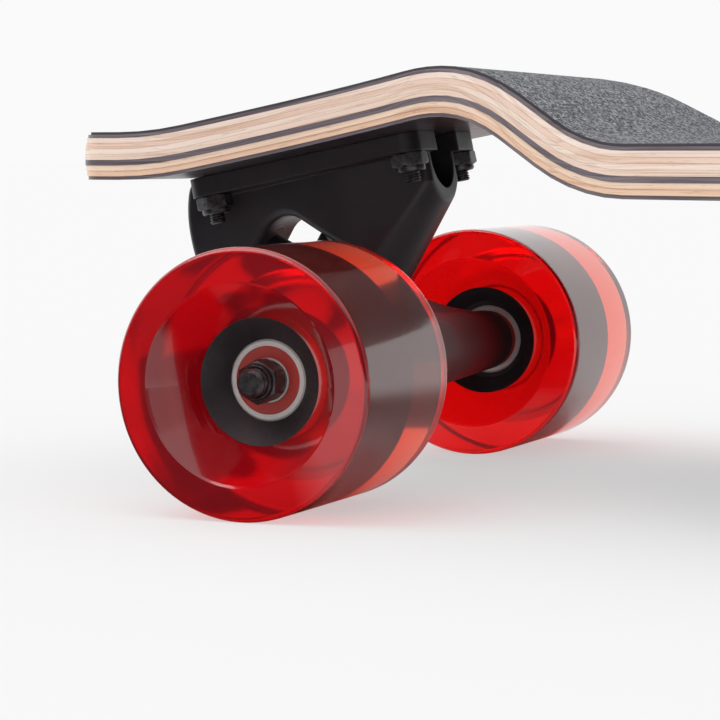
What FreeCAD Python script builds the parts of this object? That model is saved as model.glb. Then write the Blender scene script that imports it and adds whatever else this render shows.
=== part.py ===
import FreeCAD
import Part
import math
import os

# Longboard with a dropped platform, in millimetres: X along the board, Y across it, Z up from the ground

# Board
wheelbase = 760.0
nose_overhang = 81.5
nose_bow = 3.0
nose_corner_radius = 8.0
platform_half_width = 125.0
face_ply_thickness = 1.0
core_ply_thickness = 1.58
ply_count = 9
grip_thickness = 0.75
grip_inset = 1.6
edge_bulge = 1.0

# Bends of the board, seen from the side
mount_slope = 11.5
drop_slope = 30.0
crest_from_axle = 33.6
crest_radius = 46.0
foot_radius = 60.0
nose_bend_from_axle = -46.5
nose_bend_radius = 112.0
platform_drop = 10.8
pattern_from_axle = -23.0

# Half width at the nose, then at places measured from the axle, as shares of the platform's half width
nose_width_share = 0.416
outline_place_shares = (-0.44, -0.216, 0.0, 0.16, 0.288, 0.4, 0.496, 0.6, 0.72, 0.84, 1.0, 1.2, 1.44)
outline_width_shares = (0.424, 0.412, 0.424, 0.46, 0.516, 0.592, 0.652, 0.716, 0.796, 0.876, 0.948, 0.988, 1)

# Wheels
wheel_diameter = 72.0
wheel_width = 60.7
wheel_face_from_middle = 118.8
tread_round = 1.6
lip_fall = 0.9
lip_inner_radius = 27.0
lip_step = 0.7
lip_step_width = 0.6
core_radius = 17.1
core_depth = 13.2
core_shoulder_depth = 17.6
core_shoulder_radius = 12.4
core_stop_radius = 9.4

# Bearings
bearing_outer_radius = 11.0
bearing_width = 7.0
bearing_depth = 18.9
bearing_gap = 10.0
bearing_chamfer = 0.6
outer_race_inner_radius = 9.2
inner_race_outer_radius = 6.0
shield_recess = 0.4
shield_thickness = 0.4
shield_clearance = 0.06
speed_ring_radius = 5.5
speed_ring_thickness = 1.0
spacer_radius = 5.4

# Axle
axle_radius = 3.97
axle_end_from_bearing = 12.2
axle_chamfer = 1.0
axle_nut_across = 10.6
axle_nut_hex_height = 6.4
axle_nut_collar_height = 1.5
axle_nut_collar_radius = 4.9

# Steering: the axis rises outwards, the kingpin stands square to it
steering_angle = 29.0
ring_from_axle = 22.1
ring_above_axle = 17.7
mount_above_ring = 41.8
ring_radius = 17.5
ring_half_thickness = 5.5
ring_web_half = 2.0
ring_hole_radius = 9.0
bushing_radius = 12.5
bushing_seat_clearance = 0.3
bushing_board_height = 13.5
bushing_road_height = 12.5
bushing_road_tip_radius = 9.4
bushing_edge = 1.2
washer_radius = 12.0
washer_thickness = 1.5

# Hanger
arm_end_radius = 9.5
arm_root_radius = 11.4
arm_root_place = 20.0
arm_end_chamfer = 2.6
hanger_web_half = 5.2
hanger_web_shares = ((-0.45, 0.87), (0.35, 1.2), (1.2, 2.5), (1.5, 3.4), (1.75, 3.4))
stem_root_radius = 6.8
stem_radius = 6.2
stem_neck_place = 24.6
stem_tip_place = 37.6
stem_tip_steps = 3

# Pivot cup and leg
cup_radius = 9.0
cup_mouth_place = 25.2
cup_end_place = 40.0
cup_running_clearance = 0.05
leg_bottom = 13.5
leg_place_shares = (0.99, 1.1325, 1.27, 1.335)
leg_level_shares = (-1.0, -0.607, -0.074, 0.326)

# Baseplate
flange_half_length = 37.0
flange_shift = -0.5
flange_half_width = 26.5
flange_thickness = 5.7
flange_corner_radius = 5.0
boss_radius = 18.0
boss_end_setback = 2.5
boss_rim_level = 13.8
boss_rim_clearance = 0.4
body_place_shares = (-1.325, -1.108, -0.86, -0.487, -0.081, 0.243, 0.568)
body_width_shares = (0.377, 0.43, 0.442, 0.468, 0.581, 0.596, 0.528, 0.457)
body_edge_round = 2.5
arch_round = 9.0
pocket_radius = 9.0
pocket_depth = 16.5
pocket_reach = 2.0
kingpin_seat_thickness = 10.5

# Kingpin
kingpin_radius = 4.75
kingpin_clearance = 0.1
kingpin_head_across = 14.3
kingpin_head_height = 6.5
kingpin_nut_height = 7.0
kingpin_nut_collar_height = 1.8
kingpin_nut_collar_radius = 6.6
kingpin_tail = 3.0
kingpin_chamfer = 0.8

# Deck bolts
bolt_spacing_along = 63.5
bolt_spacing_across = 41.3
bolt_radius = 2.4
bolt_clearance = 0.12
bolt_head_radius = 4.5
bolt_head_height = 2.1
bolt_head_sink = 0.15
bolt_tail = 3.0
bolt_chamfer = 0.5
bolt_socket_across = 3.2
bolt_socket_depth = 1.8
deck_nut_across = 9.5
deck_nut_hex_height = 4.0
deck_nut_collar_height = 1.6
deck_nut_collar_radius = 4.2

# Cuts run past the faces by the overrun, and an edge is taken to lie at a place that it passes this closely
overrun = 6.0
pick_tolerance = 0.2

# Values that follow from the sizes above
wheel_radius = wheel_diameter / 2
ring_height = wheel_radius + ring_above_axle
mount_height = ring_height + mount_above_ring
platform_height = mount_height - platform_drop
deck_thickness = 2 * face_ply_thickness + (ply_count - 2) * core_ply_thickness
board_thickness = deck_thickness + grip_thickness
seat_level = ring_web_half + bushing_board_height + washer_thickness
head_level = seat_level + kingpin_seat_thickness
road_washer_level = -ring_web_half - bushing_road_height
kingpin_nut_level = road_washer_level - washer_thickness
kingpin_end_level = kingpin_nut_level - kingpin_nut_height - kingpin_nut_collar_height - kingpin_tail
bearing_face = wheel_face_from_middle - bearing_depth
inner_bearing_face = bearing_face - 2 * bearing_width - bearing_gap
hanger_half_width = inner_bearing_face - speed_ring_thickness
axle_half_length = bearing_face + axle_end_from_bearing
axle_nut_face = bearing_face + speed_ring_thickness

x_axis = FreeCAD.Vector(1, 0, 0)
y_axis = FreeCAD.Vector(0, 1, 0)
z_axis = FreeCAD.Vector(0, 0, 1)
origin = FreeCAD.Vector(0, 0, 0)


def vec(x, y, z):
    return FreeCAD.Vector(x, y, z)


def polar(angle):
    return math.cos(math.radians(angle)), math.sin(math.radians(angle))


# Shapes made in the tilted frames of the steering axis and of the mounting face

def in_steering_frame(shape):
    turn = FreeCAD.Rotation(y_axis, steering_angle)
    shape.Placement = FreeCAD.Placement(vec(-ring_from_axle, 0, ring_height), turn)
    return shape


def in_mount_frame(shape):
    turn = FreeCAD.Rotation(y_axis, -mount_slope)
    shape.Placement = FreeCAD.Placement(vec(pattern_from_axle, 0, mount_height), turn)
    return shape


# Front and rear trucks are the same truck, turned round

def at_end(shape, end):
    placed = shape.copy()
    if end == "rear":
        placed.rotate(origin, z_axis, 180)
        placed.translate(vec(wheelbase / 2, 0, 0))
    else:
        placed.translate(vec(-wheelbase / 2, 0, 0))
    return placed


def closed(points):
    return list(points) + [points[0]]


def prism_along_z(points, low, high):
    wire = Part.makePolygon([vec(x, y, low) for x, y in closed(points)])
    return Part.Face(wire).extrude(vec(0, 0, high - low))


def revolve_about_x(points):
    wire = Part.makePolygon([vec(x, 0, r) for x, r in closed(points)])
    return Part.Face(wire).revolve(origin, x_axis, 360)


def revolve_about_y(points):
    wire = Part.makePolygon([vec(r, y, 0) for r, y in closed(points)])
    return Part.Face(wire).revolve(origin, y_axis, 360)


def revolve_about_z(points):
    wire = Part.makePolygon([vec(0, r, z) for r, z in closed(points)])
    return Part.Face(wire).revolve(origin, z_axis, 360)


def rod(radius, low, high):
    return Part.makeCylinder(radius, high - low, vec(0, 0, low), z_axis)


def hexagon(across, low, high):
    corner = across / math.sqrt(3)
    points = [(corner * polar(60 * i)[0], corner * polar(60 * i)[1]) for i in range(6)]
    return prism_along_z(points, low, high)


# A hexagon with its outer corners turned off, as on a turned nut

def turned_hexagon(across, low, high, turned_end):
    corner = across / math.sqrt(3)
    bevel = (corner - across / 2) / math.sqrt(3)
    if turned_end == "high":
        points = [(0, low), (corner, low), (corner, high - bevel), (across / 2, high), (0, high)]
    else:
        points = [(0, low), (across / 2, low), (corner, low + bevel), (corner, high), (0, high)]
    return hexagon(across, low, high).common(revolve_about_z(points))


def group(shapes):
    return Part.makeCompound(shapes)


# Bent board: one layer between two levels above the underside, as a band of lines and arcs

def bend_centres():
    cos_mount, sin_mount = polar(mount_slope)
    nose_run = nose_bend_from_axle - pattern_from_axle
    nose_x = nose_bend_from_axle - nose_bend_radius * sin_mount
    nose = (nose_x, mount_height + nose_run * sin_mount / cos_mount + nose_bend_radius * cos_mount)
    cos_drop, sin_drop = polar(drop_slope)
    rise = (sin_mount * (crest_from_axle - pattern_from_axle) - crest_radius) / cos_mount
    crest = (crest_from_axle, mount_height + rise)
    foot_height = platform_height + foot_radius
    foot = crest[0] + (crest_radius + foot_radius - cos_drop * (foot_height - crest[1])) / sin_drop
    return nose, crest, (foot, foot_height)


def board_edges(level):
    (nose_x, nose_z), (crest_x, crest_z), (foot_x, foot_z) = bend_centres()

    def on_nose(angle):
        cosine, sine = polar(angle)
        return nose_x + (nose_bend_radius - level) * sine, nose_z - (nose_bend_radius - level) * cosine

    def on_crest(angle):
        cosine, sine = polar(angle)
        return crest_x + (crest_radius + level) * sine, crest_z + (crest_radius + level) * cosine

    def on_foot(angle):
        cosine, sine = polar(angle)
        return foot_x - (foot_radius - level) * sine, foot_z - (foot_radius - level) * cosine

    tip = (-nose_overhang - nose_bow - overrun, on_nose(0)[1])
    stations = [tip, on_nose(0), on_nose(mount_slope / 2), on_nose(mount_slope)]
    stations += [on_crest(-mount_slope), on_crest((drop_slope - mount_slope) / 2), on_crest(drop_slope)]
    stations += [on_foot(drop_slope), on_foot(drop_slope / 2), on_foot(0)]
    front = [vec(x - wheelbase / 2, 0, z) for x, z in stations]
    rear = [vec(-p.x, 0, p.z) for p in reversed(front)]

    curves = [Part.LineSegment(front[-1], rear[0])]
    for i in range(0, len(front) - 1, 3):
        curves.append(Part.LineSegment(front[i], front[i + 1]))
        curves.append(Part.Arc(front[i + 1], front[i + 2], front[i + 3]))
        curves.append(Part.Arc(rear[i], rear[i + 1], rear[i + 2]))
        curves.append(Part.LineSegment(rear[i + 2], rear[i + 3]))
    return [c.toShape() for c in curves], front[0], rear[-1]


def board_layer(low, high):
    below, below_start, below_end = board_edges(low)
    above, above_start, above_end = board_edges(high)
    front_end = Part.LineSegment(below_start, above_start).toShape()
    rear_end = Part.LineSegment(below_end, above_end).toShape()
    wire = Part.Wire(Part.__sortEdges__(below + above + [front_end, rear_end]))
    half = platform_half_width + overrun
    face = Part.Face(wire)
    face.translate(vec(0, -half, 0))
    return face.extrude(vec(0, 2 * half, 0))


# Outline of the board from above, as an upright prism

def board_outline(inset):
    shares = [(-nose_overhang + inset, nose_width_share)]
    shares += [(x * platform_half_width, w) for x, w in zip(outline_place_shares, outline_width_shares)]
    quarter = [vec(x - wheelbase / 2, inset - w * platform_half_width, 0) for x, w in shares]
    side = Part.BSplineCurve()
    side.interpolate(Points=quarter, FinalTangent=x_axis)
    near_front = side.toShape()
    near_rear = near_front.mirror(origin, x_axis)
    far_front = near_front.mirror(origin, y_axis)
    far_rear = near_rear.mirror(origin, y_axis)
    last = quarter[-1]
    first = quarter[0]
    near_middle = Part.LineSegment(last, vec(-last.x, last.y, 0)).toShape()
    far_middle = Part.LineSegment(vec(last.x, -last.y, 0), vec(-last.x, -last.y, 0)).toShape()
    nose_tip = vec(first.x - nose_bow, 0, 0)
    nose_end = Part.Arc(first, nose_tip, vec(first.x, -first.y, 0)).toShape()
    tail_end = nose_end.mirror(origin, x_axis)
    edges = [near_front, near_middle, near_rear, tail_end, far_rear, far_middle, far_front, nose_end]
    face = Part.Face(Part.Wire(Part.__sortEdges__(edges)))
    prism = face.extrude(vec(0, 0, 2 * mount_height))
    corners = [e for e in prism.Edges if is_outline_corner(e, first)]
    return prism.makeFillet(nose_corner_radius - inset, corners)


def is_outline_corner(edge, first):
    ends = [v.Point for v in edge.Vertexes]
    if len(ends) < 2:
        return False
    upright = abs(ends[0].z - ends[1].z) > mount_height
    return upright and abs(abs(ends[0].x) - abs(first.x)) < pick_tolerance


# Holes for the deck bolts of both trucks, with their countersinks

def bolt_centres():
    along = bolt_spacing_along / 2
    across = bolt_spacing_across / 2
    return [(x, y) for x in (-along, along) for y in (-across, across)]


def four_bolts(make_one):
    pieces = []
    for x, y in bolt_centres():
        piece = make_one()
        piece.translate(vec(x, y, 0))
        pieces.append(piece)
    return in_mount_frame(group(pieces))


def bolt_hole():
    hole = bolt_radius + bolt_clearance
    head = bolt_head_radius + bolt_clearance
    top = deck_thickness - bolt_head_sink
    cone_foot = top - bolt_head_height
    points = [(0, -flange_thickness - overrun), (hole, -flange_thickness - overrun), (hole, cone_foot)]
    points += [(head, top), (head, top + overrun), (0, top + overrun)]
    return revolve_about_z(points)


def deck_bolt():
    top = deck_thickness - bolt_head_sink
    nut_end = -flange_thickness - deck_nut_hex_height - deck_nut_collar_height
    end = nut_end - bolt_tail
    points = [(0, end), (bolt_radius - bolt_chamfer, end), (bolt_radius, end + bolt_chamfer)]
    points += [(bolt_radius, top - bolt_head_height), (bolt_head_radius, top), (0, top)]
    socket = hexagon(bolt_socket_across, top - bolt_socket_depth, top + overrun)
    return revolve_about_z(points).cut(socket)


def deck_nut():
    seat = -flange_thickness
    shoulder = seat - deck_nut_hex_height
    end = shoulder - deck_nut_collar_height
    body = turned_hexagon(deck_nut_across, shoulder, seat, "low")
    collar = rod(deck_nut_collar_radius, end, shoulder)
    bore = rod(bolt_radius, end - overrun, seat + overrun)
    return body.fuse(collar).removeSplitter().cut(bore)


# Baseplate: flange, then the body from its side view and its view from above, then the bores

def flange():
    box = Part.makeBox(2 * flange_half_length, 2 * flange_half_width, flange_thickness)
    box.translate(vec(flange_shift - flange_half_length, -flange_half_width, -flange_thickness))
    upright = [e for e in box.Edges if abs(e.Vertexes[0].Z - e.Vertexes[1].Z) > flange_thickness / 2]
    return in_mount_frame(box.makeFillet(flange_corner_radius, upright))


def body_from_side():
    half = flange_half_width
    places = [-share * cup_end_place for share in leg_place_shares]
    levels = [share * leg_bottom for share in leg_level_shares]
    high = cup_end_place + seat_level
    leg = [vec(x, -half, z) for x, z in zip(places, levels)]
    back = Part.BSplineCurve()
    back.interpolate(Points=leg)
    corners = [(places[-1], high), (boss_radius, high), (boss_radius, boss_rim_level), (0, boss_rim_level)]
    corners += [(0, seat_level), (-cup_mouth_place, seat_level), (-cup_mouth_place, -leg_bottom)]
    rest = Part.makePolygon([leg[-1]] + [vec(x, -half, z) for x, z in corners] + [leg[0]])
    face = Part.Face(Part.Wire(rest.Edges + [back.toShape()]))
    solid = face.extrude(vec(0, 2 * half, 0))
    corner = [e for e in solid.Edges if is_arch_corner(e)]
    return in_steering_frame(solid.makeFillet(arch_round, corner))


def is_arch_corner(edge):
    ends = [v.Point for v in edge.Vertexes]
    on_corner = [abs(p.x + cup_mouth_place) + abs(p.z - seat_level) < pick_tolerance for p in ends]
    return all(on_corner)


def body_end():
    return flange_shift + flange_half_length - boss_end_setback


def body_side_curves():
    places = [share * flange_half_length for share in body_place_shares]
    places.append(body_end())
    widths = [share * flange_half_width for share in body_width_shares]
    side = Part.BSplineCurve()
    side.interpolate(Points=[vec(x, -w, -2 * mount_height) for x, w in zip(places, widths)])
    near = side.toShape()
    return near, near.mirror(origin, y_axis)


def body_from_above():
    near, far = body_side_curves()
    ends = [Part.LineSegment(near.Vertexes[i].Point, far.Vertexes[i].Point).toShape() for i in (0, 1)]
    face = Part.Face(Part.Wire(Part.__sortEdges__([near, far] + ends)))
    return in_mount_frame(face.extrude(vec(0, 0, 2 * mount_height)))


# What lies outside the round boss about the kingpin, on the side that faces the platform

def beyond_boss():
    high = cup_end_place + seat_level + overrun
    half = flange_half_width + overrun
    block = Part.makeBox(boss_radius + overrun, 2 * half, high)
    block.translate(vec(0, -half, 0))
    return in_steering_frame(block.cut(rod(boss_radius, -overrun, high + overrun)))


def rounded_body():
    body = body_from_side().common(body_from_above()).cut(beyond_boss())
    sides = [in_mount_frame(curve.extrude(vec(0, 0, 2 * mount_height))) for curve in body_side_curves()]
    edges = [e for e in body.Edges if is_body_edge(e, sides)]
    return body.makeFillet(body_edge_round, edges)


def is_body_edge(edge, sides):
    middle = edge.valueAt((edge.FirstParameter + edge.LastParameter) / 2)
    cosine, sine = polar(mount_slope)
    run = middle.x - pattern_from_axle
    rise = middle.z - mount_height
    on_end = abs(run * cosine + rise * sine - body_end()) < pick_tolerance
    on_side = [side.distToShape(Part.Vertex(middle))[0] < pick_tolerance for side in sides]
    below_flange = rise * cosine - run * sine < -flange_thickness
    return below_flange and (on_end or any(on_side))


def pocket_slot():
    bend = pocket_radius - pocket_depth
    near_top = vec(pocket_reach, -pocket_radius, overrun)
    near_bend = vec(pocket_reach, -pocket_radius, bend)
    far_bend = vec(pocket_reach, pocket_radius, bend)
    far_top = vec(pocket_reach, pocket_radius, overrun)
    bottom = vec(pocket_reach, 0, -pocket_depth)
    curves = [Part.LineSegment(near_top, near_bend), Part.Arc(near_bend, bottom, far_bend)]
    curves += [Part.LineSegment(far_bend, far_top), Part.LineSegment(far_top, near_top)]
    face = Part.Face(Part.Wire([c.toShape() for c in curves]))
    return face.extrude(vec(flange_half_length - pocket_reach + overrun, 0, 0))


def baseplate():
    plate = rounded_body().fuse(flange()).removeSplitter()
    cup = rod(bushing_radius + boss_rim_clearance, boss_rim_level - overrun, seat_level)
    cup_bore = Part.makeCylinder(cup_radius, cup_end_place - cup_mouth_place + overrun,
                                 vec(-cup_mouth_place + overrun, 0, 0), -x_axis)
    kingpin_bore = rod(kingpin_radius + kingpin_clearance, seat_level - overrun, head_level + overrun)
    head_bore = rod(pocket_radius, head_level, head_level + mount_height)
    for tool in (cup, cup_bore, kingpin_bore, head_bore):
        plate = plate.cut(in_steering_frame(tool))
    return plate.cut(in_mount_frame(pocket_slot())).cut(four_bolts(bolt_hole))


# Kingpin, its nut, washers, bushings and pivot cup

def kingpin():
    end = kingpin_end_level
    points = [(0, end), (kingpin_radius - kingpin_chamfer, end), (kingpin_radius, end + kingpin_chamfer)]
    points += [(kingpin_radius, head_level), (0, head_level)]
    head = turned_hexagon(kingpin_head_across, head_level, head_level + kingpin_head_height, "high")
    return in_steering_frame(revolve_about_z(points).fuse(head).removeSplitter())


def kingpin_nut():
    shoulder = kingpin_nut_level - kingpin_nut_height
    end = shoulder - kingpin_nut_collar_height
    body = turned_hexagon(kingpin_head_across, shoulder, kingpin_nut_level, "low")
    collar = rod(kingpin_nut_collar_radius, end, shoulder)
    bore = rod(kingpin_radius, end - overrun, kingpin_nut_level + overrun)
    return in_steering_frame(body.fuse(collar).removeSplitter().cut(bore))


def washer(low):
    bore = kingpin_radius + kingpin_clearance
    return rod(washer_radius, low, low + washer_thickness).cut(rod(bore, low - overrun, low + overrun))


def bushing_washers():
    return in_steering_frame(group([washer(seat_level - washer_thickness), washer(kingpin_nut_level)]))


def bushing(seat, tip, tip_radius):
    bore = kingpin_radius + kingpin_clearance
    edge = math.copysign(bushing_edge, tip - seat)
    points = [(bore, seat), (bushing_radius - bushing_edge, seat), (bushing_radius, seat + edge)]
    points += [(tip_radius, tip - edge), (tip_radius - bushing_edge, tip), (bore, tip)]
    return in_steering_frame(revolve_about_z(points))


def stem_outline(clearance):
    tip = stem_tip_place + clearance
    shoulder = stem_tip_place - stem_radius / 2
    points = [(-stem_neck_place, stem_radius + clearance), (-shoulder, stem_radius + clearance)]
    for i in range(1, stem_tip_steps):
        cosine, sine = polar(90 * i / stem_tip_steps)
        points.append((-shoulder - (tip - shoulder) * sine, (stem_radius + clearance) * cosine))
    return points + [(-tip, 0)]


def pivot_cup():
    outer = [(-cup_mouth_place, cup_radius), (-cup_mouth_place, stem_radius + cup_running_clearance)]
    inner = stem_outline(cup_running_clearance)[1:]
    back = [(-cup_end_place, 0), (-cup_end_place, cup_radius)]
    return in_steering_frame(revolve_about_x(outer + inner + back))


# Hanger: ring, stem, triangular web and two arms, then the bushing seats and the axle bore

def axle_in_steering_frame():
    cosine, sine = polar(steering_angle)
    place = ring_from_axle * cosine + ring_above_axle * sine
    level = ring_from_axle * sine - ring_above_axle * cosine
    return place, level


def hanger():
    ring = rod(ring_radius, -ring_half_thickness, ring_half_thickness)
    stem_root = [(0, 0), (0, stem_root_radius), (-ring_radius, stem_root_radius)]
    stem = revolve_about_x(stem_root + stem_outline(0))
    place, level = axle_in_steering_frame()
    near = [(x * ring_radius, -y * ring_radius) for x, y in hanger_web_shares]
    far = [(x, -y) for x, y in reversed(near)]
    web = prism_along_z(near + far, -hanger_web_half, hanger_web_half)
    end = hanger_half_width
    rim = arm_end_radius - arm_end_chamfer
    arm = [(0, -end), (rim, -end), (arm_end_radius, -end + arm_end_chamfer)]
    arm.append((arm_root_radius, -arm_root_place))
    arms = revolve_about_y(arm + [(r, -y) for r, y in reversed(arm)])
    arms.translate(vec(place, 0, level))
    solid = ring.fuse([stem, web, arms]).removeSplitter()
    seat_radius = bushing_radius + bushing_seat_clearance
    board_seat = rod(seat_radius, ring_web_half, ring_half_thickness + overrun)
    road_seat = rod(seat_radius, -ring_half_thickness - overrun, -ring_web_half)
    hole = rod(ring_hole_radius, -ring_half_thickness, ring_half_thickness)
    bore = Part.makeCylinder(axle_radius, 2 * end + 2 * overrun, vec(place, -end - overrun, level), y_axis)
    for tool in (board_seat, road_seat, hole, bore):
        solid = solid.cut(tool)
    return in_steering_frame(solid)


# Axle, nuts, rings and bearing pieces lie along the axle, at wheel height

def on_axle(shape):
    shape.translate(vec(0, 0, wheel_radius))
    return shape


def both_sides(shapes):
    mirrored = [s.mirror(origin, y_axis) for s in shapes]
    return on_axle(group(list(shapes) + mirrored))


def collar_along_y(outer, inner, low, high, chamfer):
    points = [(inner, low), (outer - chamfer, low), (outer, low + chamfer)]
    points += [(outer, high - chamfer), (outer - chamfer, high), (inner, high)]
    return revolve_about_y(points)


def ring_along_y(outer, inner, low, high):
    return revolve_about_y([(inner, low), (outer, low), (outer, high), (inner, high)])


def axle():
    end = axle_half_length
    tip = axle_radius - axle_chamfer
    half = [(0, -end), (tip, -end), (axle_radius, -end + axle_chamfer)]
    return on_axle(revolve_about_y(half + [(r, -y) for r, y in reversed(half)]))


def axle_nuts():
    shoulder = axle_nut_face + axle_nut_hex_height
    end = shoulder + axle_nut_collar_height
    body = turned_hexagon(axle_nut_across, axle_nut_face, shoulder, "high")
    collar = rod(axle_nut_collar_radius, shoulder, end)
    nut = body.fuse(collar).removeSplitter().cut(rod(axle_radius, axle_nut_face - overrun, end + overrun))
    nut.rotate(origin, x_axis, -90)
    return both_sides([nut])


def speed_rings():
    outer = ring_along_y(speed_ring_radius, axle_radius, bearing_face, bearing_face + speed_ring_thickness)
    inner = ring_along_y(speed_ring_radius, axle_radius, hanger_half_width, inner_bearing_face)
    return both_sides([outer, inner])


def bearing_spans():
    outer = (bearing_face - bearing_width, bearing_face)
    inner = (inner_bearing_face, inner_bearing_face + bearing_width)
    return [outer, inner]


def bearing_inner_races():
    races = [ring_along_y(inner_race_outer_radius, axle_radius, low, high) for low, high in bearing_spans()]
    return both_sides(races)


def bearing_spacers():
    low = inner_bearing_face + bearing_width
    return both_sides([ring_along_y(spacer_radius, axle_radius, low, low + bearing_gap)])


# Wheel pieces, made for the +Y side and mirrored for the other

def one_wheel(shape, end, side):
    on_far_side = (side == "right") == (end == "front")
    return on_axle(shape if on_far_side else shape.mirror(origin, y_axis))


def tyre():
    half = wheel_width / 2
    middle = wheel_face_from_middle - half
    core_level = half - core_depth
    step_foot = lip_inner_radius - lip_step_width
    points = [(core_radius, core_level), (step_foot, half - lip_step), (lip_inner_radius, half)]
    points.append((wheel_radius, half - lip_fall))
    whole = revolve_about_y(points + [(r, -y) for r, y in reversed(points)])
    rims = [e for e in whole.Edges if is_tread_rim(e)]
    shape = whole.makeFillet(tread_round, rims)
    shape.translate(vec(0, middle, 0))
    return shape


def is_tread_rim(edge):
    return isinstance(edge.Curve, Part.Circle) and abs(edge.Curve.Radius - wheel_radius) < pick_tolerance


def core():
    outer_rim = wheel_face_from_middle - core_depth
    inner_rim = wheel_face_from_middle - wheel_width + core_depth
    outer_shoulder = wheel_face_from_middle - core_shoulder_depth
    inner_shoulder = wheel_face_from_middle - wheel_width + core_shoulder_depth
    seat = bearing_outer_radius
    stop_out = bearing_face - bearing_width
    stop_in = inner_bearing_face + bearing_width
    points = [(core_radius, inner_rim), (core_radius, outer_rim), (core_shoulder_radius, outer_shoulder)]
    points += [(seat, bearing_face), (seat, stop_out), (core_stop_radius, stop_out)]
    points += [(core_stop_radius, stop_in), (seat, stop_in), (seat, inner_bearing_face)]
    points.append((core_shoulder_radius, inner_shoulder))
    return revolve_about_y(points)


def bearing_outer_races():
    races = [collar_along_y(bearing_outer_radius, outer_race_inner_radius, low, high, bearing_chamfer)
             for low, high in bearing_spans()]
    return group(races)


def bearing_shields():
    shields = []
    outer = outer_race_inner_radius
    inner = inner_race_outer_radius + shield_clearance
    for low, high in bearing_spans():
        for start in (low + shield_recess, high - shield_recess - shield_thickness):
            shields.append(ring_along_y(outer, inner, start, start + shield_thickness))
    return group(shields)


# Every node is written to a file of its own

os.makedirs("parts", exist_ok=True)


def write(name, shape):
    shape.exportStep("parts/" + name + ".step")


holes = four_bolts(bolt_hole)
all_holes = group([at_end(holes, "front"), at_end(holes, "rear")])

top = deck_thickness
for number in range(1, ply_count + 1):
    thickness = face_ply_thickness if number in (1, ply_count) else core_ply_thickness
    middle_share = 2 * (top - thickness / 2) / deck_thickness - 1
    outline = board_outline(edge_bulge * middle_share ** 2)
    ply = board_layer(top - thickness, top).common(outline)
    write("deck_ply_" + str(number), ply.cut(all_holes))
    top -= thickness

grip = board_layer(deck_thickness, board_thickness).common(board_outline(grip_inset))
write("grip_sheet", grip.cut(all_holes))

truck = {
    "baseplate": baseplate(),
    "deck_bolts": four_bolts(deck_bolt),
    "deck_nuts": four_bolts(deck_nut),
    "kingpin": kingpin(),
    "kingpin_nut": kingpin_nut(),
    "bushing_washers": bushing_washers(),
    "bushing_boardside": bushing(ring_web_half, seat_level - washer_thickness, bushing_radius),
    "bushing_roadside": bushing(-ring_web_half, road_washer_level, bushing_road_tip_radius),
    "pivot_cup": pivot_cup(),
    "hanger": hanger(),
    "axle": axle(),
    "axle_nuts": axle_nuts(),
    "speed_rings": speed_rings(),
    "bearing_inner_races": bearing_inner_races(),
    "bearing_spacers": bearing_spacers(),
}
wheel = {
    "tyre": tyre,
    "core": core,
    "bearing_outer_races": bearing_outer_races,
    "bearing_shields": bearing_shields,
}
for end in ("front", "rear"):
    for name, shape in truck.items():
        write(end + "_" + name, at_end(shape, end))
    for side in ("left", "right"):
        for name, make in wheel.items():
            placed = at_end(one_wheel(make(), end, side), end)
            write(end + "_" + side + "_" + name, placed)
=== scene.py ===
import math

import bpy
from mathutils import Matrix, Vector


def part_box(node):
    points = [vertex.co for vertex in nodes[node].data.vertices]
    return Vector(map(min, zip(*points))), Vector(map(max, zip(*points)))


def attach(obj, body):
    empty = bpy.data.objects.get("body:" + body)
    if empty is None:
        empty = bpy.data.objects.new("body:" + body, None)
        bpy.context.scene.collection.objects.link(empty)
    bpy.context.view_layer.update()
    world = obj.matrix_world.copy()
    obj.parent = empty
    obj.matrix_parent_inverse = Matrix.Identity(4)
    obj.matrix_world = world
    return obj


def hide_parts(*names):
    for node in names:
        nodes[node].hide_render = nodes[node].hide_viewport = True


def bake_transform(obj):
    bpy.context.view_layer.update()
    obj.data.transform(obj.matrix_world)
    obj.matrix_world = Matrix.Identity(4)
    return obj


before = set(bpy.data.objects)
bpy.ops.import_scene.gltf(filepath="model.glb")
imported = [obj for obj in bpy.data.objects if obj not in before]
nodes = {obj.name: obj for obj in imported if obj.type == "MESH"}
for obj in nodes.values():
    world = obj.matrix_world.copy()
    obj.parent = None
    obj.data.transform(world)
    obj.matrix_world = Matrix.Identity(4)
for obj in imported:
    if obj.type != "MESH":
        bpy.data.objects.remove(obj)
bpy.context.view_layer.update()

mm = 0.001

# Camera, placed round a point measured from the middle of the front axle; angles in degrees
camera_azimuth = 22.13
camera_elevation = 4.30
camera_distance = 825 * mm
camera_target_from_axle = Vector((-14.24, 0, -1.96)) * mm
camera_lens = 136.87
camera_sensor = 36.0
camera_clip_start = 10 * mm

# Floor, and the edges of a dark card on it that only glossy surfaces see, in metres
floor_size = 60.0
floor_tone = 0.93
floor_glow_share = 0.5
card_back = -0.085
card_right = -0.335
card_slant = 0.38
card_fade = 0.016

# World, and the directions in which a glossy surface sees the room go from dim to white
backdrop_tone = 0.955
room_tone = 0.07
room_towards_back = (-0.45, 0.0)
room_upwards = (0.35, 0.7)
ambient_strength = 0.79

# Key light; angles in degrees
key_strength = 0.82
key_softness = 50.0
key_from_left = 48.0
key_height = 58.0

# Board and trucks; angles in degrees
ends = ("front", "rear")
sides = ("left", "right")
board_plies = 9
dark_plies = (1, 6, 9)
lowest_ply = "deck_ply_9"
underside_steps = 24
mount_slope = 11.5
steering_angle = 29.0

# Places across the wheel between which the urethane goes from its inner to its outer look; the
# outer look is painted shade, a darker colour on the outer side
tyre_inner_place = 70 * mm
tyre_outer_place = 100 * mm
bond_reach_share = 1.01

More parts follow.
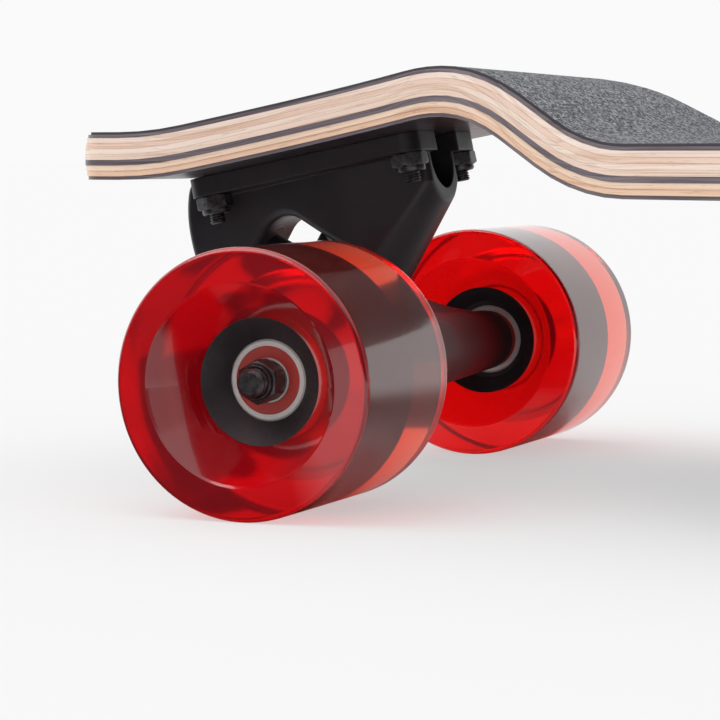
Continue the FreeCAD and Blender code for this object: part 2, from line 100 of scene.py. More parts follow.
# Fasteners, in millimetres, as large as the solids that they stand for. A tail is how far its
# chamfer goes in and up, and the height at which the thread starts
deck_bolt_radius = 2.4
kingpin_radius = 4.75
axle_radius = 3.97
deck_bolt = dict(radius=deck_bolt_radius, pitch=0.79, tail=(0.5, 0.4, 0.45), threaded=16.0,
                 head_radius=4.5, head=2.1, socket=3.2, socket_depth=1.8)
kingpin = dict(radius=kingpin_radius, pitch=1.06, tail=(0.8, 0.75, 0.8), threaded=22.0,
               across=14.3, head=6.5)
axle = dict(radius=axle_radius, pitch=1.06, tail=(1.0, 0.9, 1.0), threaded=14.0)
deck_nut = dict(across=9.5, hexagon=4.0, collar=1.6, collar_radius=4.2, bore=deck_bolt_radius)
kingpin_nut = dict(across=14.3, hexagon=7.0, collar=1.8, collar_radius=6.6, bore=kingpin_radius)
axle_nut = dict(across=10.6, hexagon=6.4, collar=1.5, collar_radius=4.9, bore=axle_radius)

# Edges of the fasteners, in millimetres: ring levels above a seat, ring depths below a top, and
# outlines as pairs of a step from the radius and a depth below the top
corner_slope = 1.7
nut_seat_share = 0.99
nut_top_share = 0.97
nut_seat_levels = (0.0, 0.12, 0.24, 0.4)
nut_top_depths = (0.6, 0.45, 0.3, 0.15, 0.0)
collar_outline = ((0.0, 0.55), (0.12, 0.25), (0.38, 0.0), (0.8, 0.0), (0.95, 0.2))
nylon_outline = ((0.15, 0.25), (0.0, 0.4))
kingpin_top_depths = (0.9, 0.6, 0.3, 0.0)
socket_edge = 0.15

# Threads
thread_edge = 0.1
thread_depth_share = 0.5
thread_flank_share = 1.25
thread_rings_per_turn = 6
thread_fade_rings = 4

# Bushings, in millimetres
bushing_radius = 12.5
bushing_tip_radii = {"bushing_boardside": bushing_radius, "bushing_roadside": 9.4}
bushing_bore = 4.85
bushing_edge = 1.2
bushing_round_shares = (0.0, 0.3, 0.6, 0.85, 1.0)
bushing_steps = 12

# Points around each turned piece, the angle from which an edge stays sharp, and the distance
# within which the points of a solid count as one
nut_points = 60
deck_bolt_points = 30
kingpin_points = 48
axle_points = 36
bushing_points = 64
sharp_angle = 32.0
weld_distance = 0.002 * mm

# Colours, as linear red, green and blue
maple_tones = {
    2: (0.98, 0.82, 0.72), 3: (0.92, 0.70, 0.58), 4: (0.98, 0.82, 0.71), 5: (0.93, 0.73, 0.61),
    7: (0.96, 0.73, 0.56), 8: (0.91, 0.63, 0.45),
}
maple_deep_shares = (0.80, 0.68, 0.58)
maple_light_share = 1.06
maple_pore_share = 0.62
maple_glue_share = 0.5
dyed_dark = (0.065, 0.052, 0.062)
dyed_worn = (0.22, 0.185, 0.21)
dyed_light_share = 1.9
dyed_underside = (0.024, 0.018, 0.024)
grip_edge = (0.075, 0.070, 0.078)
# The palest grit stop is a painted glint: grains coloured pale as if catching the light
grip_stops_with_painted_glints = ((0.2, (0.008, 0.009, 0.012)), (0.55, (0.10, 0.105, 0.12)),
              (0.86, (0.50, 0.51, 0.55)))
cast_dark, cast_pale = (0.018, 0.015, 0.019), (0.028, 0.024, 0.030)
oxide_dark, oxide_pale = (0.05, 0.05, 0.055), (0.13, 0.125, 0.13)
urethane_tread = (1.0, 0.19, 0.15)
urethane_inner_side = (1.0, 0.008, 0.03)
# Painted shade: the outer side of each wheel is coloured darker than the inner side
urethane_outer_side_painted_shade = (0.50, 0.002, 0.012)
urethane_from_inside = (1.0, 0.4, 0.32)
urethane_body = (0.99, 0.40, 0.05)
urethane_body_density = 90
urethane_shadow = (0.95, 0.28, 0.34)

# Urethane: how far a surface faces sideways from tread to side and on a side's rim, the cloudy
# share on inner and outer sides and on the rim, and the gloss of tread and side
urethane_side_turn = (0.1, 0.45)
urethane_rim_turn = (0.5, 0.72)
urethane_side_clouds = (0.3, 0.36)
urethane_rim_clouds = (0.7, 0.0)
urethane_least_clouds = 0.07
urethane_cloud_change = (0.9, 1.1)
urethane_roughness = (0.05, 0.1)
urethane_coat = (0.25, 0.9)

# Depth of grain and marks, and radius of the edges that the shading softens
fibre_depth = 0.06 * mm
glue_line_width = 0.22 * mm
grit_depth = 0.2 * mm
cast_grain_depth = 0.05 * mm
cast_edge = 0.9 * mm
oxide_mark_depth = 0.02 * mm
oxide_edge = 0.25 * mm
steel_mark_depth = 0.003 * mm
plastic_edge = 0.3 * mm
urethane_mark_depth = 0.008 * mm

# How far the rounded normal turns at a glue line, and the share of glue that this shows
glue_turn = (0.86, 0.995)
glue_share = (0.75, 0.0)

# Noise: repeats per metre along, across and up, and the range that most of its values lie in
maple_fibres = (14, 40, 2400)
maple_streaks = (5, 9, 420)
maple_pores = (160, 160, 2600)
dyed_fibres = (22, 60, 2600)
dyed_patches = (6, 12, 500)
steel_marks = (300, 2500, 300)
urethane_marks = (30, 1700, 30)
plastic_grains_in_cloud = 12
whole_range = (0.0, 1.0)
noise_range = (0.3, 0.7)


def colour(tone):
    return (*tone, 1.0)


def grey(tone):
    return tone, tone, tone, 1.0


def scaled(tone, share):
    return tuple(min(1.0, part * share) for part in tone)


class Graph:
    """Short ways to add nodes to a shader tree and to join them."""

    def __init__(self, tree):
        self.nodes = tree.nodes
        self.links = tree.links

    def add(self, kind, **settings):
        node = self.nodes.new(kind)
        for key, value in settings.items():
            setattr(node, key, value)
        return node

    def give(self, socket, value):
        if isinstance(value, bpy.types.NodeSocket):
            self.links.new(value, socket)
        else:
            socket.default_value = value

    def place(self, stretch=(1, 1, 1)):
        coordinates = self.add("ShaderNodeTexCoord")
        mapping = self.add("ShaderNodeMapping")
        mapping.inputs["Scale"].default_value = stretch
        self.links.new(coordinates.outputs["Object"], mapping.inputs["Vector"])
        return mapping.outputs["Vector"]

    def parts(self, vector):
        node = self.add("ShaderNodeSeparateXYZ")
        self.links.new(vector, node.inputs[0])
        return node.outputs

    def facing(self, axis):
        normal = self.add("ShaderNodeTexCoord").outputs["Normal"]
        return self.parts(normal)["XYZ".index(axis)]

    def noise(self, vector, scale=1.0, detail=3.0, roughness=0.5):
        node = self.add("ShaderNodeTexNoise")
        self.links.new(vector, node.inputs["Vector"])
        node.inputs["Scale"].default_value = scale
        node.inputs["Detail"].default_value = detail
        node.inputs["Roughness"].default_value = roughness
        return node.outputs[0]

    def math(self, operation, first, second=0.0):
        node = self.add("ShaderNodeMath", operation=operation)
        self.give(node.inputs[0], first)
        self.give(node.inputs[1], second)
        return node.outputs[0]

    def weigh(self, first, second, share):
        """The first value by its share, with the second making up the rest."""
        return self.math("ADD", self.math("MULTIPLY", first, share),
                         self.math("MULTIPLY", second, 1.0 - share))

    def either(self, first, *others):
        for other in others:
            first = self.math("MAXIMUM", first, other)
        return first

    def spread(self, value, source, target, kind="LINEAR"):
        """A value carried over from one range to another."""
        node = self.add("ShaderNodeMapRange", interpolation_type=kind)
        for socket, number in zip(node.inputs[:5], (value, *source, *target)):
            self.give(socket, number)
        return node.outputs[0]

    def vary(self, noise, low, high):
        return self.spread(noise, noise_range, (low, high))

    def ramp(self, value, stops):
        node = self.add("ShaderNodeValToRGB")
        elements = node.color_ramp.elements
        while len(elements) < len(stops):
            elements.new(0.5)
        for element, (position, tone) in zip(elements, stops):
            element.position = position
            element.color = colour(tone)
        self.links.new(value, node.inputs["Fac"])
        return node.outputs["Color"]

    def tones(self, noise, dark, pale):
        return self.ramp(noise, list(zip(noise_range, (dark, pale))))

    def mix(self, share, first, second):
        node = self.add("ShaderNodeMix", data_type="RGBA")
        self.give(node.inputs[0], share)
        self.give(node.inputs[6], first)
        self.give(node.inputs[7], second)
        return node.outputs[2]

    def shade(self, share, first, second):
        """The first shader where the share is 0, and the second where it is 1."""
        node = self.add("ShaderNodeMixShader")
        for socket, value in zip(node.inputs, (share, first, second)):
            self.links.new(value, socket)
        return node.outputs[0]

    def bump(self, height, depth, normal=None):
        node = self.add("ShaderNodeBump")
        node.inputs["Distance"].default_value = depth
        self.links.new(height, node.inputs["Height"])
        if normal is not None:
            self.links.new(normal, node.inputs["Normal"])
        return node.outputs["Normal"]

    def rounded(self, radius):
        node = self.add("ShaderNodeBevel", samples=6)
        node.inputs["Radius"].default_value = radius
        return node.outputs["Normal"]

    def corners(self, radius):
        """A share that grows towards the edges, where a rounded normal turns from the true one."""
        turn = self.add("ShaderNodeVectorMath", operation="DOT_PRODUCT")
        self.links.new(self.rounded(radius), turn.inputs[0])
        self.links.new(self.add("ShaderNodeNewGeometry").outputs["Normal"], turn.inputs[1])
        return self.spread(turn.outputs["Value"], glue_turn, glue_share)


class Finish(Graph):
    """The graph of a material, with its main shader and its output."""

    def __init__(self, name):
        self.material = bpy.data.materials.new(name)
        self.material.use_nodes = True
        super().__init__(self.material.node_tree)
        self.shader = self.nodes["Principled BSDF"]
        self.output = self.nodes["Material Output"]

    def set(self, **values):
        for key, value in values.items():
            self.give(self.shader.inputs[key.replace("_", " ")], value)

    def show(self, shader):
        self.links.new(shader, self.output.inputs["Surface"])


# Finishes of the board

def underside_heights(steps):
    """Heights of the board's underside from its middle to its end, read from the lowest ply."""
    half_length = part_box(lowest_ply)[1].x
    lowest = [None] * (steps + 1)
    for vertex in nodes[lowest_ply].data.vertices:
        place = round(abs(vertex.co.x) / half_length * steps)
        if lowest[place] is None or vertex.co.z < lowest[place]:
            lowest[place] = vertex.co.z
    known = [(i, z) for i, z in enumerate(lowest) if z is not None]
    heights = []
    for i in range(steps + 1):
        before = max((k for k in known if k[0] <= i), default=known[0])
        after = min((k for k in known if k[0] >= i), default=known[-1])
        span = max(1, after[0] - before[0])
        heights.append(before[1] + (after[1] - before[1]) * (i - before[0]) / span)
    return heights, half_length


def along_board(graph, stretch):
    """Coordinates that follow the board's bends: along, across, and level above the underside."""
    heights, half_length = underside_heights(underside_steps)
    top = max(heights)
    along, across, height = graph.parts(graph.place())
    curve = graph.add("ShaderNodeFloatCurve")
    points = curve.mapping.curves[0].points
    for i, level in enumerate(heights):
        point = points[i] if i < 2 else points.new(0, 0)
        point.location = (i / underside_steps, level / top)
    curve.mapping.update()
    share = graph.math("DIVIDE", graph.math("ABSOLUTE", along), half_length)
    graph.links.new(share, curve.inputs["Value"])
    underside = graph.math("MULTIPLY", curve.outputs[0], top)
    combine = graph.add("ShaderNodeCombineXYZ")
    parts = (along, across, graph.math("SUBTRACT", height, underside))
    for socket, part, factor in zip(combine.inputs, parts, stretch):
        graph.links.new(graph.math("MULTIPLY", part, factor), socket)
    return combine.outputs[0]


def maple(name, pale, shift):
    """Clear veneer, seen on its edge: fine fibres along the board, darker streaks and pores."""
    graph = Finish(name)
    deep = tuple(part * share for part, share in zip(pale, maple_deep_shares))
    along, across, up = maple_streaks
    own_streaks = (along + shift, across, up)
    fibres = graph.noise(along_board(graph, maple_fibres), detail=5.0, roughness=0.65)
    streaks = graph.noise(along_board(graph, own_streaks), detail=3.0, roughness=0.55)
    pores = graph.noise(along_board(graph, maple_pores), detail=2.0)
    light = scaled(pale, maple_light_share)
    base = graph.ramp(graph.weigh(fibres, streaks, 0.5), [(0.38, deep), (0.5, pale), (0.64, light)])
    speck = graph.spread(pores, (0.62, 0.72), (0.0, 0.5))
    speckled = graph.mix(speck, base, colour(scaled(deep, maple_pore_share)))
    glue = colour(scaled(deep, maple_glue_share))
    graph.set(Base_Color=graph.mix(graph.corners(glue_line_width), speckled, glue))
    graph.set(Roughness=graph.vary(fibres, 0.34, 0.5), Coat_Weight=0.25, Coat_Roughness=0.3)
    graph.set(Normal=graph.bump(fibres, fibre_depth))
    return graph.material


def dyed_veneer():
    """Dark veneer, with paler fibres on its edge where the dye has not taken."""
    graph = Finish("dyed_veneer")
    fibres = graph.noise(along_board(graph, dyed_fibres), detail=5.0, roughness=0.7)
    patches = graph.noise(along_board(graph, dyed_patches), detail=3.0)
    light = scaled(dyed_worn, dyed_light_share)
    stops = [(0.36, dyed_dark), (0.58, dyed_worn), (0.78, light)]
    edge = graph.ramp(graph.weigh(fibres, patches, 0.65), stops)
    below = graph.spread(graph.facing("Z"), (-0.8, -0.5), (1.0, 0.0))
    graph.set(Base_Color=graph.mix(below, edge, colour(dyed_underside)))
    graph.set(Roughness=graph.vary(fibres, 0.3, 0.45), Coat_Weight=0.2, Coat_Roughness=0.25)
    graph.set(Normal=graph.bump(fibres, fibre_depth))
    return graph.material


def grip_grit():
    """Coarse grit, a few grains painted pale as a painted glint of light, with a plain cut edge."""
    graph = Finish("grip_grit")
    place = graph.place()
    grains = graph.noise(place, scale=1500, detail=3.0, roughness=0.7)
    coarse = graph.noise(place, scale=420, detail=2.0)
    cells = graph.add("ShaderNodeTexVoronoi")
    cells.inputs["Scale"].default_value = 1700
    graph.links.new(place, cells.inputs["Vector"])
    shades = graph.add("ShaderNodeSeparateColor")
    graph.links.new(cells.outputs["Color"], shades.inputs[0])
    tone = graph.weigh(shades.outputs[0], grains, 0.8)
    upwards = graph.spread(graph.facing("Z"), (0.5, 0.8), whole_range)
    # Painted glints: the palest grains come from the colour ramp, not from the light
    graph.set(Base_Color=graph.mix(upwards, colour(grip_edge), graph.ramp(tone, grip_stops_with_painted_glints)))
    graph.set(Roughness=graph.vary(coarse, 0.62, 0.85), Specular_IOR_Level=0.4)
    graph.set(Normal=graph.bump(graph.math("MULTIPLY", tone, upwards), grit_depth))
    return graph.material


# Finishes of the trucks and wheels

def cast_black():
    """Satin black over cast metal."""
    graph = Finish("cast_black")
    place = graph.place()
    skin = graph.noise(place, scale=900, detail=3.0, roughness=0.6)
    clouds = graph.noise(place, scale=60, detail=3.0)
    graph.set(Base_Color=graph.tones(clouds, cast_dark, cast_pale))
    graph.set(Roughness=graph.vary(clouds, 0.36, 0.5), Specular_IOR_Level=0.5)
    graph.set(Normal=graph.bump(skin, cast_grain_depth, graph.rounded(cast_edge)))
    return graph.material


def black_oxide():
    """The blackened steel of fasteners."""
    graph = Finish("black_oxide")
    marks = graph.noise(graph.place(), scale=700, detail=4.0, roughness=0.7)
    graph.set(Base_Color=graph.ramp(marks, [(0.35, oxide_dark), (0.7, oxide_pale)]))
    graph.set(Metallic=0.85, Roughness=graph.vary(marks, 0.26, 0.42))
    graph.set(Normal=graph.bump(marks, oxide_mark_depth, graph.rounded(oxide_edge)))
    return graph.material


def bright_steel(name, metallic, dark, pale):
    """Steel with fine marks around the axle: ground on bearings, plated on washers."""
    graph = Finish(name)
    marks = graph.noise(graph.place(steel_marks), detail=3.0)
    graph.set(Base_Color=graph.tones(marks, dark, pale))
    graph.set(Metallic=metallic, Roughness=graph.vary(marks, 0.3, 0.42))
    graph.set(Normal=graph.bump(marks, steel_mark_depth))
    return graph.material


def satin_plastic(name, dark, pale, roughness, grain, depth):
    """Moulded plastic with a fine skin and faint clouds."""
    graph = Finish(name)
    place = graph.place()
    skin = graph.noise(place, scale=grain, detail=3.0, roughness=0.6)
    clouds = graph.noise(place, scale=grain / plastic_grains_in_cloud, detail=2.0)
    graph.set(Base_Color=graph.tones(clouds, dark, pale))
    graph.set(Roughness=graph.vary(skin, *roughness))
    graph.set(Normal=graph.bump(skin, depth, graph.rounded(plastic_edge)))
    return graph.material


def wheel_urethane():
    """Red urethane, clear through the tread and cloudier through the sides and their rims; the
    outer side is coloured darker, as painted shade.

    The clouds count from outside only, and light that passes on to the floor is tinted.
    """
    graph = Finish("wheel_urethane")
    marks = graph.noise(graph.place(urethane_marks), detail=4.0, roughness=0.7)
    clouds = graph.noise(graph.place(), scale=45, detail=2.0)
    to_side = graph.math("ABSOLUTE", graph.facing("Y"))
    sideways = graph.spread(to_side, urethane_side_turn, whole_range)
    from_middle = graph.math("ABSOLUTE", graph.parts(graph.place())[1])
    outer = graph.spread(from_middle, (tyre_inner_place, tyre_outer_place), whole_range)
    outside = graph.math("SUBTRACT", 1.0, graph.add("ShaderNodeNewGeometry").outputs["Backfacing"])

    # Painted shade: the outer side takes a darker colour than the inner side
    side = graph.mix(outer, colour(urethane_inner_side), colour(urethane_outer_side_painted_shade))
    tint_with_painted_shade = graph.mix(sideways, colour(urethane_tread), side)
    graph.set(Base_Color=graph.mix(outside, colour(urethane_from_inside), tint_with_painted_shade))

    on_side = graph.spread(outer, whole_range, urethane_side_clouds)
    on_rim = graph.spread(to_side, urethane_rim_turn, urethane_rim_clouds)
    cloudy = [graph.math("MULTIPLY", sideways, share) for share in (on_side, on_rim)]
    share = graph.math("MULTIPLY", graph.either(*cloudy, urethane_least_clouds),
                       graph.vary(clouds, *urethane_cloud_change))
    clear = graph.math("SUBTRACT", 1.0, graph.math("MULTIPLY", share, outside))
    graph.set(Transmission_Weight=clear, IOR=1.52)
    graph.set(Roughness=graph.spread(sideways, whole_range, urethane_roughness))
    graph.set(Coat_Weight=graph.spread(sideways, whole_range, urethane_coat), Coat_Roughness=0.02)
    graph.set(Normal=graph.bump(marks, urethane_mark_depth))

    body = graph.add("ShaderNodeVolumeAbsorption")
    body.inputs["Color"].default_value = colour(urethane_body)
    body.inputs["Density"].default_value = urethane_body_density
    graph.links.new(body.outputs[0], graph.output.inputs["Volume"])
    tinted = graph.add("ShaderNodeBsdfTransparent")
    tinted.inputs["Color"].default_value = colour(urethane_shadow)
    shadow_ray = graph.add("ShaderNodeLightPath").outputs["Is Shadow Ray"]
    graph.show(graph.shade(shadow_ray, graph.shader.outputs[0], tinted.outputs[0]))
    return graph.material


finishes = {
    "dyed": dyed_veneer(),
    "grip": grip_grit(),
    "cast": cast_black(),
    "fastener": black_oxide(),
    "steel": bright_steel("ground_steel", 0.35, (0.70, 0.69, 0.67), (0.80, 0.79, 0.77)),
    "plated": bright_steel("plated_steel", 0.9, (0.42, 0.42, 0.43), (0.54, 0.54, 0.55)),
    "bushing": satin_plastic("bushing_urethane", (0.02, 0.02, 0.022), (0.035, 0.035, 0.038),
                             roughness=(0.35, 0.5), grain=500, depth=0.03 * mm),
    "core": satin_plastic("core_plastic", (0.016, 0.015, 0.018), (0.03, 0.028, 0.032),
                          roughness=(0.42, 0.6), grain=900, depth=0.03 * mm),
    "shield": satin_plastic("shield_red", (0.40, 0.035, 0.025), (0.50, 0.055, 0.04),
                            roughness=(0.32, 0.42), grain=700, depth=0.01 * mm),
    "nylon": satin_plastic("nylon", (0.05, 0.05, 0.055), (0.08, 0.08, 0.085),
                           roughness=(0.4, 0.55), grain=900, depth=0.01 * mm),
    "wheel": wheel_urethane(),
}
fastener_materials = [finishes["fastener"], finishes["nylon"]]
truck_finish = {
    "baseplate": "cast", "hanger": "cast", "pivot_cup": "bushing",
    "deck_bolts": "fastener", "deck_nuts": "fastener",
    "kingpin": "fastener", "kingpin_nut": "fastener", "bushing_washers": "plated",
    "bushing_boardside": "bushing", "bushing_roadside": "bushing",
    "axle": "fastener", "axle_nuts": "fastener", "speed_rings": "fastener",
    "bearing_inner_races": "steel", "bearing_spacers": "steel",
}
wheel_finish = {
    "tyre": "wheel", "core": "core", "bearing_outer_races": "steel", "bearing_shields": "shield",
}


def paint(node, material):
    mesh = nodes[node].data
    mesh.materials.clear()
    mesh.materials.append(material)


def bond_to_core(wheel):
    """The urethane is bonded to the core, so its bore shows the core and not a gap."""
    tyre = nodes[wheel + "_tyre"].data
    low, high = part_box(wheel + "_core")
    centre = (low + high) / 2
    reach = (high.z - low.z) / 2 * bond_reach_share
    tyre.materials.append(finishes["core"])
    for polygon in tyre.polygons:
        away = Vector((polygon.center.x - centre.x, polygon.center.z - centre.z)).length
        if away < reach and low.y < polygon.center.y < high.y:
            polygon.material_index = 1


def paint_board():
    for number in range(1, board_plies + 1):
        ply = "deck_ply_%d" % number
        if number in dark_plies:
            paint(ply, finishes["dyed"])
        else:
            paint(ply, maple("maple_%d" % number, maple_tones[number], number))
    paint("grip_sheet", finishes["grip"])


def paint_truck(end):
    for part, finish in truck_finish.items():
        paint(end + "_" + part, finishes[finish])
    for side in sides:
        wheel = end + "_" + side
        for part, finish in wheel_finish.items():
            paint(wheel + "_" + part, finishes[finish])
        bond_to_core(wheel)


# Turned and threaded pieces, built as rings of points about their own axis, in millimetres

class Rings:
    """A mesh grown from rings of points, with as many copies as it has places."""

    def __init__(self):
        self.points = []
        self.faces = []
        self.kinds = []

    def add(self, place, rings, second_kind=(), loop=False):
        """Bands between the rings: closed from last to first if a loop, or else by two caps."""
        start = len(self.points)
        count = len(rings[0])
        for ring in rings:
            self.points += [place @ (Vector(point) * mm) for point in ring]
        last = len(rings) - 1
        pairs = [(i, i + 1) for i in range(last)]
        if loop:
            pairs.append((last, 0))
        for i, (low, high) in enumerate(pairs):
            for j in range(count):
                k = (j + 1) % count
                corners = (low * count + j, low * count + k, high * count + k, high * count + j)
                self.faces.append([start + c for c in corners])
                self.kinds.append(1 if i in second_kind else 0)
        if not loop:
            self.faces.append([start + j for j in reversed(range(count))])
            self.faces.append([start + last * count + j for j in range(count)])
            self.kinds += [0, 0]

    def build(self, name, materials):
        mesh = bpy.data.meshes.new(name)
        mesh.from_pydata(self.points, [], self.faces)
        mesh.polygons.foreach_set("use_smooth", [True] * len(self.faces))
        mesh.polygons.foreach_set("material_index", self.kinds)
        for material in materials:
            mesh.materials.append(material)
        mesh.set_sharp_from_angle(angle=math.radians(sharp_angle))
        piece = bpy.data.objects.new(name, mesh)
        bpy.context.scene.collection.objects.link(piece)
        return piece


def circle(radius, level, points):
    turns = [2 * math.pi * j / points for j in range(points)]
    return [(radius * math.cos(turn), radius * math.sin(turn), level) for turn in turns]


def hex_ring(across, level, points, largest):
    """A hexagon, its corners turned down to a largest radius."""
    ring = []
    for j in range(points):
        turn = 2 * math.pi * j / points
        from_flat = (turn + math.pi / 6) % (math.pi / 3) - math.pi / 6
        radius = min(across / 2 / math.cos(from_flat), largest)
        ring.append((radius * math.cos(turn), radius * math.sin(turn), level))
    return ring


def thread_rings(radius, pitch, low, high, points):
    """A thread from a low to a high level, running out at both."""
    depth = thread_depth_share * pitch
    count = max(2, round((high - low) / pitch * thread_rings_per_turn))
    rings = []
    for i in range(count + 1):
        level = low + (high - low) * i / count
        fade = min(1.0, i / thread_fade_rings, (count - i) / thread_fade_rings)
        ring = []
        for j in range(points):
            turn = 2 * math.pi * j / points
            phase = (level / pitch - j / points) % 1.0
            deep = depth * fade * min(1.0, thread_flank_share * abs(2 * phase - 1))
            ring.append(((radius - deep) * math.cos(turn), (radius - deep) * math.sin(turn), level))
        rings.append(ring)
    return rings


def tail_rings(radius, pitch, tail, threaded, points):
    """The end of a bolt: chamfer, then thread."""
    chamfer, rise, start = tail
    rings = [circle(radius - chamfer, 0.0, points), circle(radius - thread_edge, rise, points)]
    return rings + thread_rings(radius, pitch, start, threaded, points)


def lock_nut_rings(across, hexagon, collar, collar_radius, bore):
    """A lock nut from its seat outwards, hexagon, collar and nylon ring; and the nylon's bands."""
    flat = across / 2
    corner = across / math.sqrt(3)
    top = hexagon + collar
    levels = [*nut_seat_levels, *(hexagon - depth for depth in nut_top_depths)]
    rings = []
    for level in levels:
        from_seat = flat * nut_seat_share + corner_slope * level
        from_top = flat * nut_top_share + corner_slope * (hexagon - level)
        rings.append(hex_ring(across, level, nut_points, min(corner, from_seat, from_top)))
    outside = [(collar_radius, hexagon)]
    outside += [(collar_radius - step, top - depth) for step, depth in collar_outline]
    inside = [(bore + step, top - depth) for step, depth in nylon_outline]
    inside.append((bore, 0.0))
    rings += [circle(radius, level, nut_points) for radius, level in outside + inside]
    nylon = len(levels) + len(outside)
    return rings, (nylon - 1, nylon)


def deck_bolt_rings(length, radius, pitch, tail, threaded, head_radius, head, socket, socket_depth):
    """A countersunk bolt from its tail to its head, with a hexagon socket."""
    points = deck_bolt_points
    below_top = length - socket_edge
    mouth = socket + 2 * socket_edge
    rings = tail_rings(radius, pitch, tail, threaded, points)
    rings += [circle(radius, length - head, points), circle(head_radius, below_top, points)]
    rings.append(circle(head_radius - socket_edge, length, points))
    rings.append(hex_ring(mouth, length, points, socket))
    rings.append(hex_ring(socket, below_top, points, socket))
    rings.append(hex_ring(socket, length - socket_depth, points, socket))
    return rings


def kingpin_rings(length, radius, pitch, tail, threaded, across, head):
    """A bolt with a hexagon head, from its tail."""
    points = kingpin_points
    rings = tail_rings(radius, pitch, tail, threaded, points)
    rings.append(circle(radius, length - head, points))
    for depth in (head, *kingpin_top_depths):
        largest = across / 2 * nut_top_share + corner_slope * depth
        rings.append(hex_ring(across, length - depth, points, largest))
    return rings


def axle_rings(length, **thread):
    """A rod with a thread at both ends."""
    near = tail_rings(points=axle_points, **thread)
    far = [[(x, y, length - z) for x, y, z in ring] for ring in reversed(near)]
    return near + far


def bushing_rings(height, tip_radius):
    """A bushing from its seat to its tip, with rounded edges, and back through its bore."""
    def rounded(radius, share):
        inwards = bushing_edge * (1 - math.sqrt(1 - (1 - share) ** 2))
        return radius - inwards

    outline = [(rounded(bushing_radius, s), bushing_edge * s) for s in bushing_round_shares]
    for i in range(1, bushing_steps):
        share = i / bushing_steps
        radius = bushing_radius + (tip_radius - bushing_radius) * share
        outline.append((radius, bushing_edge + (height - 2 * bushing_edge) * share))
    for share in reversed(bushing_round_shares):
        outline.append((rounded(tip_radius, share), height - bushing_edge * share))
    for i in range(bushing_steps + 1):
        outline.append((bushing_bore, height * (1 - i / bushing_steps)))
    return [circle(radius, level, bushing_points) for radius, level in outline]


def solids(node, axes):
    """The separate solids of a node: for each the foot of its axis, as a place, and its length."""
    mesh = nodes[node].data
    owner = {}

    def root(key):
        while owner.setdefault(key, key) != key:
            key = owner[key]
        return key

    keys = [tuple(round(c / weld_distance) for c in vertex.co) for vertex in mesh.vertices]
    for polygon in mesh.polygons:
        first = root(keys[polygon.vertices[0]])
        for vertex in polygon.vertices:
            owner[root(keys[vertex])] = first
    groups = {}
    for key, vertex in zip(keys, mesh.vertices):
        groups.setdefault(root(key), []).append(vertex.co)
    found = []
    for points in groups.values():
        turn = axes(sum(p.y for p in points))
        local = [turn.transposed() @ p for p in points]
        low = [min(p[i] for p in local) for i in range(3)]
        high = [max(p[i] for p in local) for i in range(3)]
        foot = turn @ Vector(((low[0] + high[0]) / 2, (low[1] + high[1]) / 2, low[2]))
        found.append((Matrix.Translation(foot) @ turn.to_4x4(), (high[2] - low[2]) / mm))
    return found


def tilted(end, angle, upside_down=False):
    """Axes that lean with a truck, the same on both of its sides."""
    turn = Matrix.Rotation(math.radians(angle), 3, "Y")
    if end == "rear":
        turn = Matrix.Rotation(math.pi, 3, "Z") @ turn
    if upside_down:
        turn = turn @ Matrix.Rotation(math.pi, 3, "X")
    return lambda side: turn


def outwards(side):
    return Matrix.Rotation(math.copysign(math.pi / 2, -side), 3, "X")


def across_board(side):
    return outwards(1.0)


def stands_for(piece, node, body):
    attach(piece, body)
    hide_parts(node)


def dress_nuts(piece_name, node, body, axes, size):
    nuts = Rings()
    rings, nylon = lock_nut_rings(**size)
    for place, _ in solids(node, axes):
        nuts.add(place, rings, nylon, loop=True)
    piece = nuts.build(piece_name, fastener_materials)
    stands_for(piece, node, body)


def dress_rods(piece_name, node, body, axes, rod_rings, size):
    rods = Rings()
    for place, length in solids(node, axes):
        rods.add(place, rod_rings(length, **size))
    piece = rods.build(piece_name, fastener_materials)
    stands_for(piece, node, body)


def dress_bushing(piece_name, node, axes, tip_radius):
    """A bushing between the hanger and the board, fixed where it stands."""
    bushing = Rings()
    place, length = solids(node, axes)[0]
    bushing.add(place, bushing_rings(length, tip_radius), loop=True)
    piece = bushing.build(piece_name, [finishes["bushing"]])
    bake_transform(piece)
    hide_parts(node)


def dress_truck(end):
    hanger = end + "_hanger"
    up_bolt, down_bolt = tilted(end, -mount_slope), tilted(end, -mount_slope, True)
    up_pin, down_pin = tilted(end, steering_angle), tilted(end, steering_angle, True)

    dress_nuts(end + "_deck_lock_nuts", end + "_deck_nuts", "board", down_bolt, deck_nut)
    dress_rods(end + "_deck_screws", end + "_deck_bolts", "board", up_bolt,
               deck_bolt_rings, deck_bolt)
    dress_rods(end + "_kingpin_bolt", end + "_kingpin", "board", up_pin, kingpin_rings, kingpin)
    dress_nuts(end + "_kingpin_lock_nut", end + "_kingpin_nut", "board", down_pin, kingpin_nut)
    dress_nuts(end + "_axle_lock_nuts", end + "_axle_nuts", hanger, outwards, axle_nut)
    dress_rods(end + "_axle_rod", end + "_axle", hanger, across_board, axle_rings, axle)
    for part, axes in (("bushing_boardside", up_pin), ("bushing_roadside", down_pin)):
        node = end + "_" + part
        dress_bushing(end + "_soft_" + part, node, axes, bushing_tip_radii[part])


# Floor, light and camera

def seen_from(azimuth, elevation):
    """A direction, turned to the right from the front and raised, in degrees."""
    turn, rise = math.radians(azimuth), math.radians(elevation)
    level = math.cos(rise)
    return Vector((math.sin(turn) * level, -math.cos(turn) * level, math.sin(rise)))


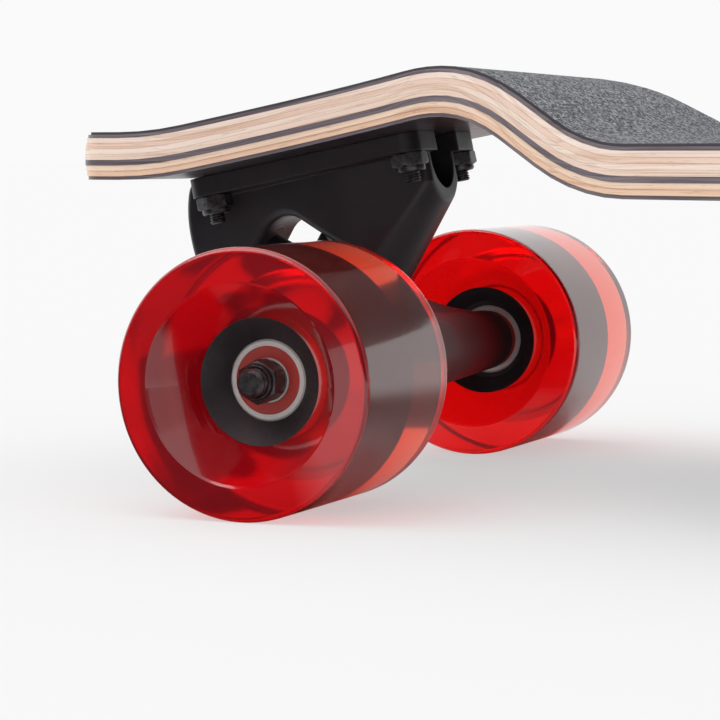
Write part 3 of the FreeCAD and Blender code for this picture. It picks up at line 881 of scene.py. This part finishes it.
def studio_floor():
    """A pale floor, with a card before and left of the wheels that darkens what gloss shows."""
    bpy.ops.mesh.primitive_plane_add(size=floor_size)
    floor = bpy.context.object
    floor.name = "floor"
    graph = Finish("floor")
    rays = graph.add("ShaderNodeLightPath").outputs
    along, across, _ = graph.parts(graph.place())
    near = graph.spread(across, (card_back - card_fade, card_back), (1.0, 0.0))
    slant = graph.math("MULTIPLY", graph.math("SUBTRACT", across, card_back), card_slant)
    past_edge = graph.math("SUBTRACT", along, slant)
    left = graph.spread(past_edge, (card_right - card_fade, card_right), (1.0, 0.0))
    card = graph.math("MULTIPLY", rays["Is Glossy Ray"], graph.math("MULTIPLY", near, left))
    graph.set(Base_Color=graph.mix(card, grey(floor_tone), grey(room_tone)))
    graph.set(Roughness=0.9, Specular_IOR_Level=0.0)
    glow = graph.add("ShaderNodeEmission")
    glow.inputs["Color"].default_value = grey(backdrop_tone)
    seen = graph.either(rays["Is Camera Ray"], rays["Is Transmission Ray"])
    share = graph.math("MULTIPLY", seen, floor_glow_share)
    graph.show(graph.shade(share, graph.shader.outputs[0], glow.outputs[0]))
    floor.data.materials.append(graph.material)


def studio_world():
    """Even light; white to the eye; to gloss, white behind and above and a dim room in front."""
    world = bpy.data.worlds.new("studio")
    bpy.context.scene.world = world
    world.use_nodes = True
    graph = Graph(world.node_tree)
    ambient = graph.nodes["Background"]
    ambient.inputs["Color"].default_value = grey(1.0)
    ambient.inputs["Strength"].default_value = ambient_strength
    white = graph.add("ShaderNodeBackground")
    white.inputs["Color"].default_value = grey(backdrop_tone)
    parts = graph.parts(graph.add("ShaderNodeTexCoord").outputs["Generated"])
    back = graph.spread(parts[1], room_towards_back, (room_tone, backdrop_tone), "SMOOTHSTEP")
    above = graph.spread(parts[2], room_upwards, (0.0, backdrop_tone), "SMOOTHSTEP")
    room = graph.add("ShaderNodeBackground")
    graph.links.new(graph.either(back, above), room.inputs["Color"])
    rays = graph.add("ShaderNodeLightPath").outputs
    glossy = rays["Is Glossy Ray"]
    seen = graph.either(rays["Is Camera Ray"], rays["Is Transmission Ray"], glossy)
    direct = graph.shade(glossy, white.outputs[0], room.outputs[0])
    surface = graph.shade(seen, ambient.outputs[0], direct)
    graph.links.new(surface, graph.nodes["World Output"].inputs["Surface"])


def studio_key():
    lamp = bpy.data.lights.new("key", "SUN")
    lamp.energy = key_strength
    lamp.angle = math.radians(key_softness)
    key = bpy.data.objects.new("key", lamp)
    bpy.context.scene.collection.objects.link(key)
    towards = seen_from(-key_from_left, key_height)
    key.rotation_euler = towards.to_track_quat("Z", "Y").to_euler()


def studio_camera():
    low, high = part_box("front_axle")
    target = (low + high) / 2 + camera_target_from_axle
    back = seen_from(camera_azimuth, camera_elevation)
    data = bpy.data.cameras.new("camera")
    data.lens = camera_lens
    data.sensor_width = camera_sensor
    data.clip_start = camera_clip_start
    camera = bpy.data.objects.new("camera", data)
    camera.location = target + back * camera_distance
    camera.rotation_euler = back.to_track_quat("Z", "Y").to_euler()
    bpy.context.scene.collection.objects.link(camera)
    bpy.context.scene.camera = camera


paint_board()
for end in ends:
    paint_truck(end)
    dress_truck(end)
studio_floor()
studio_world()
studio_key()
studio_camera()
bpy.context.scene.view_settings.view_transform = "Standard"

bpy.context.view_layer.update()
